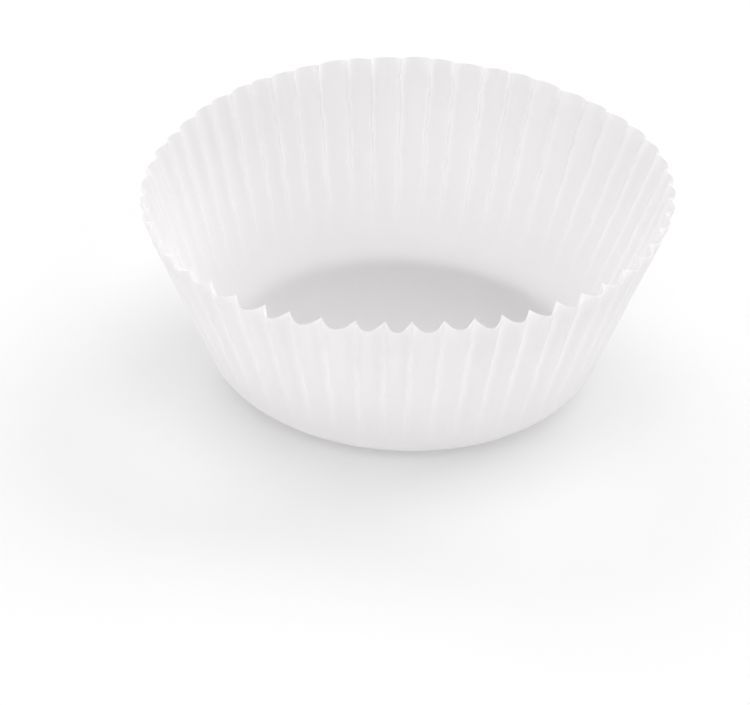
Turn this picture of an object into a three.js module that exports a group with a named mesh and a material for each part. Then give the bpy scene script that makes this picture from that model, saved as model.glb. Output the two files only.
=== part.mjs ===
// A fluted paper baking cup: one round sheet of greaseproof paper, pressed into a flat floor and a
// flared wall. The pleats of the wall take up the sheet's spare length, so they are deepest at the
// rim and run out at the edge of the floor. Each pleat is a sharp crease on the inside and a broad
// rounded crest on the outside.
// Millimetres, +Z up, the origin under the middle of the floor, where the cup stands.

import * as THREE from "three";
import { ParametricGeometry } from "three/addons/geometries/ParametricGeometry.js";

// Driving dimensions
const BASE_DIAMETER = 51; // the floor, out to where its plane meets the wall's
const RIM_DIAMETER = 70; // the rim, halfway between the creases and the crests
const HEIGHT = 25; // from the underside of the floor to the rim
const PAPER_THICKNESS = 0.08;
const EDGE_RADIUS = 5; // the bend from floor to wall, at the middle of the paper
const PLEAT_COUNT = 54;
const PLEAT_DEPTH = 1.9; // at the rim, from an inner crease out to the crests beside it
const PLEAT_GROWTH = 1.1; // power of the distance up the wall that the depth grows with
const CREST_FULLNESS = 0.9; // power of the sine arch between two creases; below 1 is fuller

// How finely the curves are stepped
const STEPS_PER_PLEAT = 4;
const EDGE_STEPS = 4;
const WALL_STEPS = 5;

// The section through the axis, along the middle of the paper: floor, bend, wall
const FLOOR_Z = PAPER_THICKNESS / 2;
const WALL_RISE = HEIGHT - FLOOR_Z;
const WALL_RUN = (RIM_DIAMETER - BASE_DIAMETER) / 2;
const WALL_SLOPE = Math.atan2(WALL_RISE, WALL_RUN);
const BEND_SETBACK = EDGE_RADIUS * Math.tan(WALL_SLOPE / 2);
const BEND_START = BASE_DIAMETER / 2 - BEND_SETBACK;
const BEND_END = BEND_START + EDGE_RADIUS * WALL_SLOPE;
const WALL_LENGTH = Math.hypot(WALL_RISE, WALL_RUN) - BEND_SETBACK;

// Radius, height and slope of the section at a distance along the paper from the floor's middle
function section(distance) {
  if (distance <= BEND_START) {
    return { radius: distance, z: FLOOR_Z, slope: 0 };
  }
  const turned = Math.min((distance - BEND_START) / EDGE_RADIUS, WALL_SLOPE);
  const climbed = Math.max(distance - BEND_END, 0);
  return {
    radius: BEND_START + EDGE_RADIUS * Math.sin(turned) + climbed * Math.cos(WALL_SLOPE),
    z: FLOOR_Z + EDGE_RADIUS * (1 - Math.cos(turned)) + climbed * Math.sin(WALL_SLOPE),
    slope: turned,
  };
}

// How far a pleat stands off the section, outwards positive: creases inside, crests outside
function pleatOffset(distance, angle) {
  const climbed = Math.max(distance - BEND_END, 0) / WALL_LENGTH;
  const depth = PLEAT_DEPTH * climbed ** PLEAT_GROWTH;
  const arch = Math.abs(Math.sin((PLEAT_COUNT * angle) / 2)) ** CREST_FULLNESS;
  return depth * (arch - 0.5);
}

// A point on the middle of the paper
function sheetPoint(distance, angle) {
  const { radius, z, slope } = section(distance);
  const offset = pleatOffset(distance, angle);
  const reach = radius + offset * Math.sin(slope);
  return new THREE.Vector3(
    reach * Math.sin(angle),
    -reach * Math.cos(angle),
    z - offset * Math.cos(slope),
  );
}

// The way from the middle of the paper to its outer face, and how far that face is: the corner
// between the flat facets on both sides keeps the paper's thickness square to each of them
const FACET_ANGLE = (2 * Math.PI) / (PLEAT_COUNT * STEPS_PER_PLEAT);
const TANGENT_REACH = EDGE_RADIUS / 100;

function outwardStep(distance, angle) {
  if (distance === 0) {
    return new THREE.Vector3(0, 0, -PAPER_THICKNESS / 2);
  }
  const here = sheetPoint(distance, angle);
  const uphill = sheetPoint(distance + TANGENT_REACH, angle);
  uphill.sub(sheetPoint(distance - TANGENT_REACH, angle));
  const before = here.clone().sub(sheetPoint(distance, angle - FACET_ANGLE));
  const after = sheetPoint(distance, angle + FACET_ANGLE).sub(here);
  const normalBefore = before.cross(uphill).normalize();
  const normalAfter = after.cross(uphill).normalize();
  const middle = normalBefore.clone().add(normalAfter).normalize();
  return middle.multiplyScalar(PAPER_THICKNESS / 2 / middle.dot(normalAfter));
}

// Stations along the closed skin: from the middle of the underside up the outside to the rim, over
// the paper's cut edge, and down the inside to the middle of the floor
function stations() {
  const distances = [0];
  for (let i = 0; i < EDGE_STEPS; i++) {
    distances.push(BEND_START + ((BEND_END - BEND_START) * i) / EDGE_STEPS);
  }
  for (let i = 0; i <= WALL_STEPS; i++) {
    distances.push(BEND_END + (WALL_LENGTH * i) / WALL_STEPS);
  }
  const outside = distances.map((distance) => ({ distance, face: 1 }));
  const inside = distances.map((distance) => ({ distance, face: -1 })).reverse();
  return [...outside, ...inside];
}

// The skin's quads as triangles. Both faces of the paper split theirs along the same diagonals, so
// that they stay parallel, and the two halves of a pleat mirror each other.
function skinTriangles(slices, bands) {
  const corners = [];
  for (let band = 0; band < bands; band++) {
    const inside = band >= bands / 2;
    for (let slice = 0; slice < slices; slice++) {
      const secondHalf = slice % STEPS_PER_PLEAT >= STEPS_PER_PLEAT / 2;
      const near = band * (slices + 1) + slice;
      const far = near + slices + 1;
      if (inside !== secondHalf) {
        corners.push(near, near + 1, far + 1, near, far + 1, far);
      } else {
        corners.push(near, near + 1, far, near + 1, far + 1, far);
      }
    }
  }
  return corners;
}

function sheetGeometry() {
  const skin = stations();
  const lastStation = skin.length - 1;
  const slices = PLEAT_COUNT * STEPS_PER_PLEAT;
  const skinPoint = (aroundShare, alongShare, target) => {
    const place = alongShare * lastStation;
    const low = Math.min(Math.floor(place), lastStation - 1);
    const share = place - low;
    const distance = THREE.MathUtils.lerp(skin[low].distance, skin[low + 1].distance, share);
    const face = THREE.MathUtils.lerp(skin[low].face, skin[low + 1].face, share);
    const angle = aroundShare * 2 * Math.PI;
    target.copy(sheetPoint(distance, angle));
    target.addScaledVector(outwardStep(distance, angle), face);
  };
  const geometry = new ParametricGeometry(skinPoint, slices, lastStation);
  geometry.setIndex(skinTriangles(slices, lastStation));
  return geometry;
}

const paper = new THREE.MeshStandardMaterial({
  color: 0xf0efed,
  roughness: 0.85,
  metalness: 0,
  side: THREE.DoubleSide,
});

const sheet = new THREE.Mesh(sheetGeometry(), paper);
sheet.name = "pleated_sheet";

const bakingCup = new THREE.Group();
bakingCup.add(sheet);

export default bakingCup;
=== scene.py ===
import math
import random

import bpy
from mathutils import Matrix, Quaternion, Vector, noise


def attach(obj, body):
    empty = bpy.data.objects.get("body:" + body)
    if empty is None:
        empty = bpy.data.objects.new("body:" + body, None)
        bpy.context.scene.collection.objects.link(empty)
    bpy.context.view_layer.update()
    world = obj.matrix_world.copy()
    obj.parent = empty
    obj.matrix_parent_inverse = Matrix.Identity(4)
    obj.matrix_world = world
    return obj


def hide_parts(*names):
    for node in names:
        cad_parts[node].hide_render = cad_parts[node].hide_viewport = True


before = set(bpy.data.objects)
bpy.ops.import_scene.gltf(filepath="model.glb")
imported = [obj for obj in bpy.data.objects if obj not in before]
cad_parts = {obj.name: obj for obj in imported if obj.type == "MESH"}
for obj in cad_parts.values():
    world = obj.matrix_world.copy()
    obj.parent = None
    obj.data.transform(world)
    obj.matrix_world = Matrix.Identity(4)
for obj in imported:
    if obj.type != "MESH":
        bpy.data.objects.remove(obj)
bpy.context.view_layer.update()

# A fluted paper baking cup, empty, standing on a white table. Lengths are in metres unless a name
# says otherwise, and directions round the cup are in degrees from the front, growing to the right.

MM = 0.001
SHEET = "pleated_sheet"

# The sheet, with the sizes that the solid has, but for the crests
BASE_RADIUS = 25.5 * MM
RIM_RADIUS = 35 * MM
HEIGHT = 25 * MM
PAPER_THICKNESS = 0.08 * MM
EDGE_RADIUS = 5 * MM
PLEAT_COUNT = 54
PLEAT_DEPTH = 1.9 * MM
PLEAT_GROWTH = 1.1
CREST_FULLNESS = 0.88  # at the front; below 1 is fuller than a sine arch, and the solid has 0.9

# How pressing and handling have left it: the rim leans in and out in slow waves, the pleats are
# deeper at the front, and no two of them are alike
RIM_WAVES = (
    # waves round the rim, how far it leans, direction of the first outward lean
    (2, 1.0 * MM, -56),
    (3, 0.3 * MM, -50),
    (4, 0.3 * MM, 22),
    (5, 0.27 * MM, -26),
)
FOOT_SHIFT = 1.8 * MM  # how far in front of the rim's middle the floor's is
SHALLOWER_BEHIND = 0.28  # share of the depth that the pleats at the back lack
SHALLOWER_BESIDE = 0.32  # and what those at the sides lack besides
FLATTER_BEHIND = 0.36  # how much fuller and flatter the crests at the back are
FIRST_CREASE = 2.8  # its direction; the solid's first crease is at 0
CREASE_DRIFT = 1.6  # how far creases crowd to one side
DRIFT_TOWARDS = 105  # where they stand furthest along
CREASE_WANDER = 0.3  # spread of their directions
DEPTH_SPREAD = 0.09
CREST_LEAN = 0.035  # how far a crest wanders from the middle of its pleat, as a share of the pleat
RIM_CUT_SPREAD = 0.08 * MM
SEED = 11

# A crease isn't quite straight, and the panels between creases aren't quite even
WOBBLE = 0.06 * MM
WOBBLE_LENGTHS = (9 * MM, 4.5 * MM)
UNEVENNESS = 0.05 * MM
UNEVEN_LENGTH = 5 * MM
UNEVEN_FULL_AT = 0.25  # share of the wall's height from which all of it is there

# The painted highlight along a crease, where the inward fold catches the light
FOLD_WIDTH = 0.36 * MM  # to either side
RIM_FOLD_WIDTH = 0.7 * MM  # where it opens out at the rim into the painted lit V at the top of each inward fold
RIM_FOLD_LENGTH = 2 * MM
FOLD_FULL_AT = 0.4  # share of the wall's height from which the painted highlight is at full strength
FOLD_EDGE = 4  # power that its sides fall off with

# How finely the sheet is stepped
STEPS_PER_PLEAT = 16
FLOOR_RINGS = (0.2, 0.4, 0.6, 0.8)  # shares of the way to the bend, each ring twice as fine
EDGE_STEPS = 6
WALL_STEPS = 40
SHARP_ANGLE = 55  # degrees between faces from which an edge is shaded as a crease


class Crease:
    """One inward fold and the crest that follows it."""

    def __init__(self, number, chance):
        direction = FIRST_CREASE + number * 360 / PLEAT_COUNT
        direction += CREASE_DRIFT * math.cos(math.radians(direction - DRIFT_TOWARDS))
        self.angle = math.radians(direction + chance.gauss(0, CREASE_WANDER))
        behind = (1 - math.cos(self.angle)) / 2
        eased = 1 - SHALLOWER_BEHIND * behind - SHALLOWER_BESIDE * math.sin(self.angle) ** 2
        self.depth = eased * (1 + chance.gauss(0, DEPTH_SPREAD))
        self.crest = eased * (1 + chance.gauss(0, DEPTH_SPREAD))
        self.fullness = CREST_FULLNESS - FLATTER_BEHIND * behind
        self.lean = chance.gauss(0, CREST_LEAN)
        self.cut = chance.gauss(0, RIM_CUT_SPREAD)
        self.phases = [chance.uniform(0, 2 * math.pi) for _ in WOBBLE_LENGTHS]

    def angle_at(self, climbed, radius):
        """Where the crease lies at a distance up the wall."""
        aside = 0
        for length, phase in zip(WOBBLE_LENGTHS, self.phases):
            aside += WOBBLE * math.sin(2 * math.pi * climbed / length + phase)
        return self.angle + aside / radius


class Sheet:
    """The middle surface of the pleated paper."""

    def __init__(self):
        self.floor_z = PAPER_THICKNESS / 2
        rise = HEIGHT - self.floor_z
        run = RIM_RADIUS - BASE_RADIUS
        self.slope = math.atan2(rise, run)
        setback = EDGE_RADIUS * math.tan(self.slope / 2)
        self.bend_start = BASE_RADIUS - setback
        self.bend_end = self.bend_start + EDGE_RADIUS * self.slope
        self.wall = math.hypot(rise, run) - setback
        chance = random.Random(SEED)
        self.creases = [Crease(k, chance) for k in range(PLEAT_COUNT)]
        # Closer together beside the creases, where the paper turns most
        shares = [(1 - math.cos(math.pi * i / STEPS_PER_PLEAT)) / 2 for i in range(STEPS_PER_PLEAT)]
        self.columns = [(pleat, share) for pleat in range(PLEAT_COUNT) for share in shares]

    def section(self, distance):
        """Radius, height and slope at a distance along the paper from the floor's middle."""
        if distance <= self.bend_start:
            return distance, self.floor_z, 0
        turned = min((distance - self.bend_start) / EDGE_RADIUS, self.slope)
        climbed = max(distance - self.bend_end, 0)
        radius = self.bend_start + EDGE_RADIUS * math.sin(turned) + climbed * math.cos(self.slope)
        z = self.floor_z + EDGE_RADIUS * (1 - math.cos(turned)) + climbed * math.sin(self.slope)
        return radius, z, turned

    def angle(self, pleat, across, climbed, radius):
        """Direction of a place across one pleat, 0 at its crease and 1 at the next."""
        last = pleat == PLEAT_COUNT - 1
        following = self.creases[0 if last else pleat + 1]
        start = self.creases[pleat].angle_at(climbed, radius)
        end = following.angle_at(climbed, radius) + (2 * math.pi if last else 0)
        return start + (end - start) * across

    def point(self, distance, pleat, across):
        """A point of the sheet, and its crease mask, which sets the painted highlight and the
        wrinkles there.
        """
        share_up = max(distance - self.bend_end, 0) / self.wall
        crease, following = self.creases[pleat], self.creases[(pleat + 1) % PLEAT_COUNT]
        distance += share_up * (crease.cut * (1 - across) + following.cut * across)
        radius, z, slope = self.section(distance)
        angle = self.angle(pleat, across, share_up * self.wall, radius)
        leant = across + crease.lean * math.sin(2 * math.pi * across) ** 2
        arch = abs(math.sin(math.pi * leant)) ** crease.fullness
        low = crease.depth * (1 - across) + following.depth * across
        half_depth = PLEAT_DEPTH / 2 * share_up ** PLEAT_GROWTH
        offset = half_depth * (arch * crease.crest - (1 - arch) * low)
        for waves, lean, towards in RIM_WAVES:
            offset += lean * share_up * math.cos(waves * (angle - math.radians(towards)))
        place = Vector((radius * math.sin(angle), -radius * math.cos(angle), z))
        uneven = UNEVENNESS * min(1, share_up / UNEVEN_FULL_AT)
        offset += uneven * noise.noise(place / UNEVEN_LENGTH)
        reach = radius + offset * math.sin(slope)
        height = z - offset * math.cos(slope)
        place = Vector((reach * math.sin(angle), -reach * math.cos(angle), height))
        place.y -= FOOT_SHIFT * (1 - place.z / HEIGHT)
        aside = min(across, 1 - across) * 2 * math.pi * radius / PLEAT_COUNT
        opening = max(0, 1 - (1 - share_up) * self.wall / RIM_FOLD_LENGTH)
        width = FOLD_WIDTH + (RIM_FOLD_WIDTH - FOLD_WIDTH) * opening
        fold = min(1, share_up / FOLD_FULL_AT) / (1 + (aside / width) ** FOLD_EDGE)
        return place, fold

    def rings(self):
        """Rings of points from the middle of the floor out to the rim, each once round the cup."""
        for i, share in enumerate(FLOOR_RINGS):
            step = 2 ** (len(FLOOR_RINGS) - i)
            yield [self.point(self.bend_start * share, *column) for column in self.columns[::step]]
        bend = self.bend_end - self.bend_start
        distances = [self.bend_start + bend * i / EDGE_STEPS for i in range(EDGE_STEPS)]
        distances += [self.bend_end + self.wall * i / WALL_STEPS for i in range(WALL_STEPS + 1)]
        for distance in distances:
            yield [self.point(distance, *column) for column in self.columns]


def ring_faces(inner, outer):
    """Faces between two rings of point numbers, where the outer has as many points or twice."""
    for i, here in enumerate(inner):
        beside = inner[(i + 1) % len(inner)]
        if len(outer) == len(inner):
            yield here, outer[i], outer[(i + 1) % len(outer)], beside
        else:
            first, middle, last = outer[2 * i], outer[2 * i + 1], outer[(2 * i + 2) % len(outer)]
            yield here, first, middle
            yield here, middle, beside
            yield beside, middle, last


def make_cup():
    sheet = Sheet()
    points = [Vector((0, 0, sheet.floor_z))]
    folds = [0.0]
    faces = []
    inner = []
    for ring in sheet.rings():
        outer = list(range(len(points), len(points) + len(ring)))
        for place, fold in ring:
            points.append(place)
            folds.append(fold)
        if inner:
            faces.extend(ring_faces(inner, outer))
        else:
            faces.extend((0, here, beside) for here, beside in zip(outer, outer[1:] + outer[:1]))
        inner = outer
    mesh = bpy.data.meshes.new("baking_cup")
    mesh.from_pydata(points, [], faces)
    mesh.attributes.new("fold", "FLOAT", "POINT").data.foreach_set("value", folds)
    mesh.shade_smooth()
    cup = bpy.data.objects.new("baking_cup", mesh)
    bpy.context.collection.objects.link(cup)
    thick = cup.modifiers.new("paper thickness", "SOLIDIFY")
    thick.thickness = PAPER_THICKNESS
    thick.offset = 0
    thick.use_even_offset = True
    thickened = cup.evaluated_get(bpy.context.evaluated_depsgraph_get())
    cup.data = bpy.data.meshes.new_from_object(thickened)
    cup.modifiers.clear()
    # The cut edge and the creases stay crisp
    cup.data.set_sharp_from_angle(angle=math.radians(SHARP_ANGLE))
    return cup


# Materials


class Value:
    """A shader socket that can be added to and multiplied."""

    def __init__(self, tree, socket):
        self.tree = tree
        self.socket = socket

    def combine(self, operation, other):
        node = self.tree.nodes.new("ShaderNodeMath")
        node.operation = operation
        for slot, item in zip(node.inputs, (self, other)):
            if isinstance(item, Value):
                self.tree.links.new(item.socket, slot)
            else:
                slot.default_value = item
        return Value(self.tree, node.outputs[0])

    def __add__(self, other):
        return self.combine("ADD", other)

    def __mul__(self, other):
        return self.combine("MULTIPLY", other)


class Finish:
    """A material in the making."""

    def __init__(self, name):
        self.material = bpy.data.materials.new(name)
        self.material.use_nodes = True
        self.tree = self.material.node_tree
        self.tree.nodes.clear()

    def node(self, kind, settings=None, output=0, **inputs):
        """Any node: its settings first, then the values or links of its sockets.

        A socket goes by its name with _ for each space, or by s and its number.
        """
        node = self.tree.nodes.new(kind)
        for name, setting in (settings or {}).items():
            setattr(node, name, setting)
        for name, item in inputs.items():
            key = int(name[1:]) if name[1:].isdigit() else name.replace("_", " ")
            socket = node.inputs[key]
            if isinstance(item, Value):
                self.tree.links.new(item.socket, socket)
            else:
                socket.default_value = item
        return Value(self.tree, node.outputs[output]) if node.outputs else None

    def mix(self, share, first, second):
        """A colour between two others, which are sockets 6 and 7 of the node."""
        return self.node(
            "ShaderNodeMix",
            {"data_type": "RGBA"},
            output="Result",
            Factor=share,
            s6=first,
            s7=second,
        )

    def surface(self, shader):
        self.node("ShaderNodeOutputMaterial", Surface=shader)
        return self.material


PAPER_COLOUR = (0.88, 0.87, 0.874, 1)
PAPER_CLOUD = (0.86, 0.85, 0.854, 1)
PAPER_ROUGHNESS = 0.8
PAPER_SHINE = 0.2
# Painted highlight: the lighter colour of the inward folds and of the V at the rim, where they
# catch the light
CREASE_HIGHLIGHT_COLOUR = (0.985, 0.98, 0.983, 1)
CREASE_HIGHLIGHT_SHARE = 0.9
GLOW_COLOUR = (0.965, 0.957, 0.961, 1)
SHARE_LET_THROUGH = 0.5

# The paper's grain: how many spots a metre holds, and how much each kind stands out
CLOUDS_PER_METRE = 900.0
FIBRES_PER_METRE = 6000.0
WRINKLES_PER_METRE = (500, 500, 2200)
GRAIN_NOISE = {"Detail": 3.0, "Roughness": 0.6}
WRINKLE_NOISE = {"Detail": 2.0, "Roughness": 0.5}
FIBRE_RELIEF = 0.35
CLOUD_RELIEF = 0.4
WRINKLE_RELIEF = 1.6
GRAIN_STRENGTH = 0.3
GRAIN_HEIGHT = 0.03 * MM


def greaseproof_paper():
    """Thin white paper that lets light through: fine fibres, faint clouds, and a painted highlight
    along the folds.
    """
    finish = Finish("greaseproof paper")
    place = finish.node("ShaderNodeTexCoord", output="Object")
    clouds = finish.node("ShaderNodeTexNoise", Vector=place, Scale=CLOUDS_PER_METRE, **GRAIN_NOISE)
    fibres = finish.node("ShaderNodeTexNoise", Vector=place, Scale=FIBRES_PER_METRE, **GRAIN_NOISE)
    fold = finish.node("ShaderNodeAttribute", {"attribute_name": "fold"}, output="Fac")
    # Short wrinkles that cross the creases
    squeezed = finish.node(
        "ShaderNodeVectorMath", {"operation": "MULTIPLY"}, s0=place, s1=WRINKLES_PER_METRE
    )
    wrinkles = finish.node("ShaderNodeTexNoise", Vector=squeezed, Scale=1.0, **WRINKLE_NOISE)
    # Painted highlight: a lighter colour along each crease mask, standing in for light caught by
    # the folds
    colour = finish.mix(
        fold * CREASE_HIGHLIGHT_SHARE,
        finish.mix(clouds, PAPER_CLOUD, PAPER_COLOUR),
        CREASE_HIGHLIGHT_COLOUR,
    )
    relief = fibres * FIBRE_RELIEF + clouds * CLOUD_RELIEF + fold * wrinkles * WRINKLE_RELIEF
    grain = finish.node(
        "ShaderNodeBump", Height=relief, Strength=GRAIN_STRENGTH, Distance=GRAIN_HEIGHT
    )
    paper = finish.node(
        "ShaderNodeBsdfPrincipled",
        Base_Color=colour,
        Roughness=PAPER_ROUGHNESS,
        Normal=grain,
        Specular_IOR_Level=PAPER_SHINE,
    )
    glow = finish.node("ShaderNodeBsdfTranslucent", Color=GLOW_COLOUR, Normal=grain)
    both = finish.node("ShaderNodeMixShader", s0=SHARE_LET_THROUGH, s1=paper, s2=glow)
    return finish.surface(both)


BLACK = (0, 0, 0, 1)
TABLE_SEEN = (0.64, 0.64, 0.64, 1)
TABLE_LIFT = (0.2, 0.2, 0.2, 1)  # added to what the camera sees, as an overexposed table looks
TABLE_BOUNCE = (0.85, 0.85, 0.85, 1)


def table_white():
    """A pale table that takes the cup's soft shadow: lifted for the camera, plain to the paper."""
    finish = Finish("table")
    seen = finish.node("ShaderNodeLightPath", output="Is Camera Ray")
    colour = finish.mix(seen, TABLE_BOUNCE, TABLE_SEEN)
    lift = finish.mix(seen, BLACK, TABLE_LIFT)
    table = finish.node(
        "ShaderNodeBsdfPrincipled",
        Base_Color=colour,
        Roughness=1.0,
        Specular_IOR_Level=0.0,
        Emission_Color=lift,
        Emission_Strength=1.0,
    )
    return finish.surface(table)


# Stage

CAMERA_DISTANCE = 0.9
CAMERA_ELEVATION = 33.0
CAMERA_ROLL = 2.4
CAMERA_AIM = Vector((-3.65 * MM, 0, -1.07 * MM))
CAMERA_SEES_FROM = 0.01
CAMERA_SEES_TO = 10
LENS_MM = 317.4
SENSOR_MM = 36

TABLE_SIZE = 6
TABLE_BELOW = 0.03 * MM  # just clear of the paper
WHITE = (1, 1, 1, 1)
WORLD_STRENGTH = 0.48
WORLD_SEEN = 1  # its strength where the camera sees it
LAMPS = (
    # name, strength, spread, direction round the cup, elevation
    ("main_lamp", 1.45, 45, 135, 32),
    ("back_lamp", 1.02, 40, -152, 28),
    ("right_lamp", 0.58, 50, 55, 36),
    ("left_lamp", 0.6, 55, -75, 42),
    ("top_lamp", 0.55, 40, 0, 89),
)


def make_table():
    bpy.ops.mesh.primitive_plane_add(size=TABLE_SIZE, location=(0, 0, -TABLE_BELOW))
    table = bpy.context.object
    table.name = "table"
    table.data.materials.append(table_white())


def make_camera():
    data = bpy.data.cameras.new("camera")
    data.sensor_width = SENSOR_MM
    data.lens = LENS_MM
    data.clip_start, data.clip_end = CAMERA_SEES_FROM, CAMERA_SEES_TO
    camera = bpy.data.objects.new("camera", data)
    bpy.context.collection.objects.link(camera)
    up = math.radians(CAMERA_ELEVATION)
    camera.location = CAMERA_DISTANCE * Vector((0, -math.cos(up), math.sin(up)))
    level = (CAMERA_AIM - camera.location).to_track_quat("-Z", "Y")
    camera.rotation_mode = "QUATERNION"
    camera.rotation_quaternion = level @ Quaternion((0, 0, 1), math.radians(CAMERA_ROLL))
    bpy.context.scene.camera = camera


def make_world():
    world = bpy.data.worlds.new("studio")
    world.use_nodes = True
    background = world.node_tree.nodes["Background"]
    seen = world.node_tree.nodes.new("ShaderNodeLightPath")
    strength = world.node_tree.nodes.new("ShaderNodeMix")
    strength.inputs[2].default_value = WORLD_STRENGTH
    strength.inputs[3].default_value = WORLD_SEEN
    world.node_tree.links.new(seen.outputs["Is Camera Ray"], strength.inputs[0])
    world.node_tree.links.new(strength.outputs[0], background.inputs["Strength"])
    background.inputs["Color"].default_value = WHITE
    bpy.context.scene.world = world


def make_lamp(name, strength, spread, direction, elevation):
    data = bpy.data.lights.new(name, "SUN")
    data.energy = strength
    data.angle = math.radians(spread)
    lamp = bpy.data.objects.new(name, data)
    bpy.context.collection.objects.link(lamp)
    up, side = math.radians(elevation), math.radians(direction)
    towards = Vector((math.sin(side) * math.cos(up), -math.cos(side) * math.cos(up), math.sin(up)))
    lamp.rotation_mode = "QUATERNION"
    lamp.rotation_quaternion = towards.to_track_quat("Z", "Y")
    lamp.location = towards


cup = make_cup()
cup.data.materials.append(greaseproof_paper())
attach(cup, "root")
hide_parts(SHEET)
make_table()
make_camera()
make_world()
for lamp in LAMPS:
    make_lamp(*lamp)

bpy.context.scene.view_settings.view_transform = "Standard"
